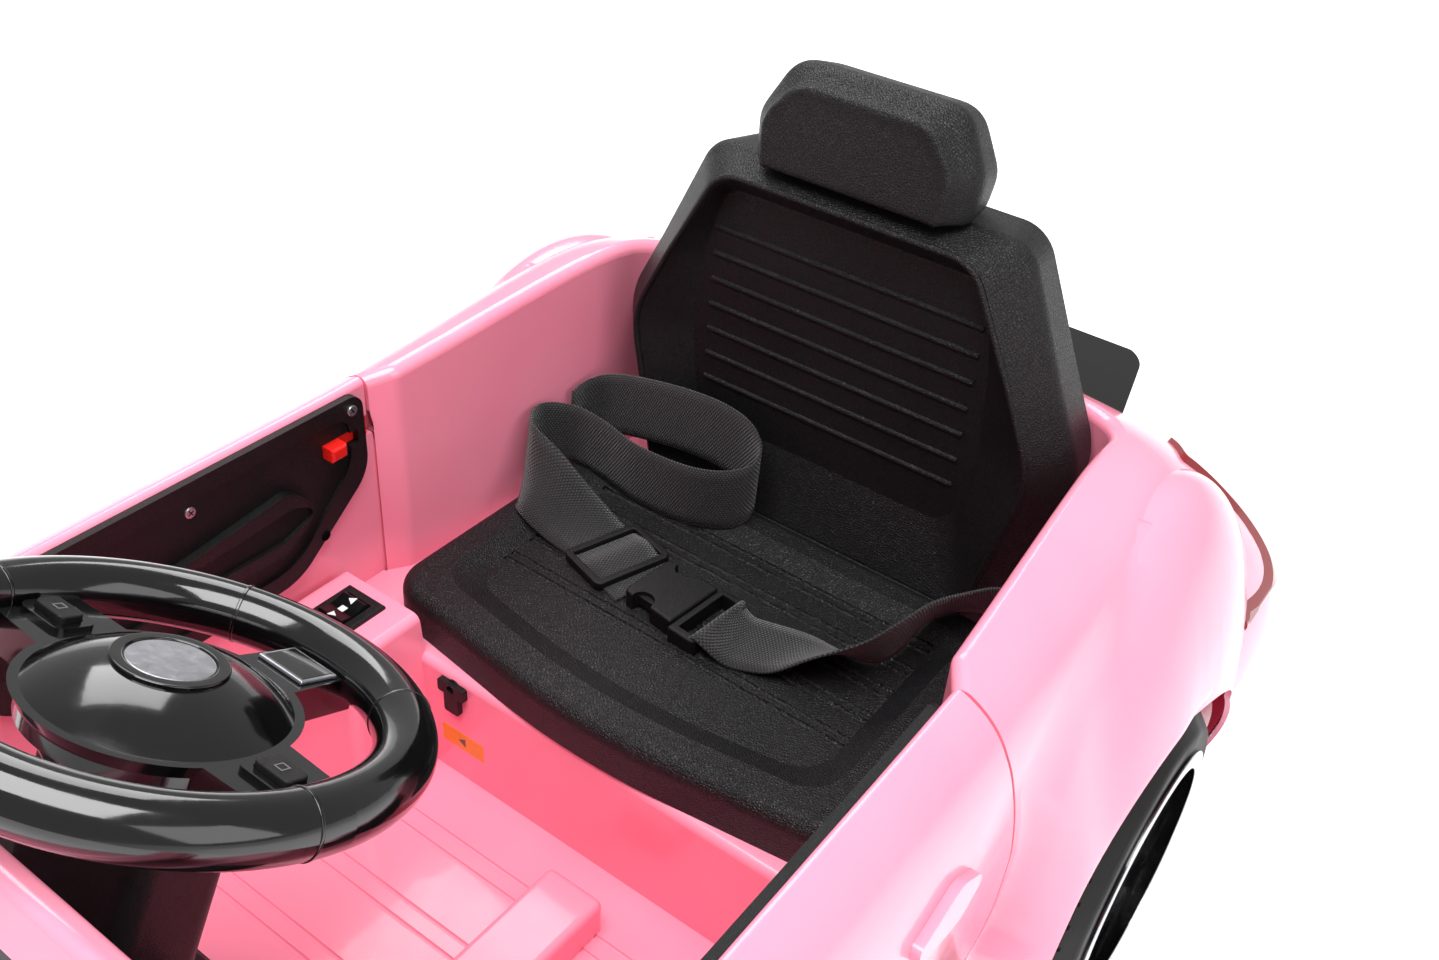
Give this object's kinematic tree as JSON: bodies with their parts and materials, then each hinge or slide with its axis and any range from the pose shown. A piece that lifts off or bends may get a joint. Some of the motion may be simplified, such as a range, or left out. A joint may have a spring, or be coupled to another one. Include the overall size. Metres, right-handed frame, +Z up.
{
  "type": "electric ride-on car",
  "caption": "Open-top electric ride-on toy car for one child, with a moulded seat, lap belt, steered front wheels, hinged doors, foot pedal and direction switch.",
  "frame": {"origin": "on the ground under the middle of the car's length and width", "axes": "+X to the driver's left, -Y towards the car's front, +Z up"},
  "size_m": [0.5875, 1.022, 0.5296],
  "materials": {
    "pink": "glossy moulded",
    "black_plastic": "fine moulded grain",
    "seat_plastic": "moulded leather grain",
    "gloss_black": "glossy",
    "chassis_plastic": "matt",
    "tyre": "matt",
    "steel": "bright",
    "silver": "satin silver",
    "webbing": "woven nylon",
    "smoked_pane": "smoked",
    "clear_lens": "clear",
    "red_lens": "glossy translucent",
    "red_plastic": "glossy",
    "battery_case": "matt"
  },
  "bodies": {
    "car": {"floor_tub": "pink", "front_body": "pink", "rear_body": "pink", "chassis_frame": "chassis_plastic", "kingpins": "steel", "rear_axle": "steel", "gearboxes": "chassis_plastic", "drive_motors": "steel", "battery": "battery_case", "control_box": "chassis_plastic", "charge_socket": "black_plastic", "switch_housing": "black_plastic", "column_shroud": "black_plastic", "dashboard": "black_plastic", "pedal_base": "black_plastic", "door_hinge_pins": "steel", "seat_base": "seat_plastic", "backrest": "seat_plastic", "headrest": "seat_plastic", "seat_belt": "webbing", "belt_buckle": "black_plastic", "belt_slider": "black_plastic", "windscreen_frame": "pink", "windscreen_pane": "smoked_pane", "headlamp_lenses": "clear_lens", "headlamp_bezels": "gloss_black", "tail_lamps": "red_lens", "front_grille": "black_plastic", "rear_spoiler": "gloss_black"},
    "rocker": {"direction_rocker": "gloss_black"},
    "knuckle_left": {"knuckle_left": "steel"},
    "knuckle_right": {"knuckle_right": "steel"},
    "tie_rod": {"tie_rod": "steel"},
    "steering": {"column_shaft": "steel", "steering_wheel": "gloss_black", "horn_pad": "gloss_black", "pad_badge": "silver"},
    "horn_button": {"horn_button": "black_plastic"},
    "music_button": {"music_button": "black_plastic"},
    "pedal": {"foot_pedal": "black_plastic"},
    "door_left": {"door_left": "pink", "door_trim_left": "black_plastic", "door_handle_left": "pink"},
    "door_right": {"door_right": "pink", "door_trim_right": "black_plastic", "door_handle_right": "pink"},
    "latch_left": {"door_latch_left": "red_plastic"},
    "latch_right": {"door_latch_right": "red_plastic"},
    "front_left_wheel": {"tyre_front_left": "tyre", "wheel_front_left": "gloss_black"},
    "front_right_wheel": {"tyre_front_right": "tyre", "wheel_front_right": "gloss_black"},
    "rear_left_wheel": {"tyre_rear_left": "tyre", "wheel_rear_left": "gloss_black"},
    "rear_right_wheel": {"tyre_rear_right": "tyre", "wheel_rear_right": "gloss_black"}
  },
  "joints": [
    {"name": "steering_turn", "type": "hinge", "parent": "car", "child": "steering", "pos_m": [0, -0.158, 0.422], "axis": [0, 0.454, 0.891], "range_deg": [-25, 25]},
    {"name": "knuckle_left_turn", "type": "hinge", "parent": "car", "child": "knuckle_left", "pos_m": [0.205, -0.318, 0.115], "axis": [0, 0, 1], "range_deg": [-22, 22]},
    {"name": "knuckle_right_turn", "type": "hinge", "parent": "car", "child": "knuckle_right", "pos_m": [-0.205, -0.318, 0.115], "axis": [0, 0, 1], "range_deg": [-22, 22]},
    {"name": "tie_rod_swing", "type": "hinge", "parent": "knuckle_left", "child": "tie_rod", "pos_m": [0.205, -0.278, 0.108], "axis": [0, 0, 1], "range_deg": [-22, 22]},
    {"name": "front_left_spin", "type": "hinge", "parent": "knuckle_left", "child": "front_left_wheel", "pos_m": [0.255, -0.318, 0.115], "axis": [1, 0, 0], "continuous": true},
    {"name": "front_right_spin", "type": "hinge", "parent": "knuckle_right", "child": "front_right_wheel", "pos_m": [-0.255, -0.318, 0.115], "axis": [1, 0, 0], "continuous": true},
    {"name": "rear_left_spin", "type": "hinge", "parent": "car", "child": "rear_left_wheel", "pos_m": [0.255, 0.277, 0.115], "axis": [1, 0, 0], "continuous": true},
    {"name": "rear_right_spin", "type": "hinge", "parent": "car", "child": "rear_right_wheel", "pos_m": [-0.255, 0.277, 0.115], "axis": [1, 0, 0], "continuous": true},
    {"name": "door_left_open", "type": "hinge", "parent": "car", "child": "door_left", "pos_m": [0.236, -0.149, 0.25], "axis": [0, 0, -1], "range_deg": [0, 55]},
    {"name": "door_right_open", "type": "hinge", "parent": "car", "child": "door_right", "pos_m": [-0.236, -0.149, 0.25], "axis": [0, 0, 1], "range_deg": [0, 55]},
    {"name": "latch_left_slide", "type": "slide", "parent": "door_left", "child": "latch_left", "axis": [0, 1, 0], "range_m": [0, 0.014]},
    {"name": "latch_right_slide", "type": "slide", "parent": "door_right", "child": "latch_right", "axis": [0, 1, 0], "range_m": [0, 0.014]},
    {"name": "pedal_press", "type": "hinge", "parent": "car", "child": "pedal", "pos_m": [-0.095, -0.118, 0.112], "axis": [1, 0, 0], "range_deg": [0, 12], "stiffness_Nm_per_rad": 1.5},
    {"name": "rocker_tilt", "type": "hinge", "parent": "car", "child": "rocker", "pos_m": [-0.166, 0.055, 0.22], "axis": [1, 0, 0], "range_deg": [-9, 9]},
    {"name": "horn_press", "type": "slide", "parent": "steering", "child": "horn_button", "axis": [0, -0.454, -0.891], "range_m": [0, 0.002], "stiffness_N_per_m": 400},
    {"name": "music_press", "type": "slide", "parent": "steering", "child": "music_button", "axis": [0, -0.454, -0.891], "range_m": [0, 0.002], "stiffness_N_per_m": 400}
  ],
  "couplings": [
    {"joint": "knuckle_left_turn", "follows": "steering_turn", "ratio": 0.88},
    {"joint": "knuckle_right_turn", "follows": "steering_turn", "ratio": 0.88},
    {"joint": "tie_rod_swing", "follows": "steering_turn", "ratio": -0.88}
  ]
}
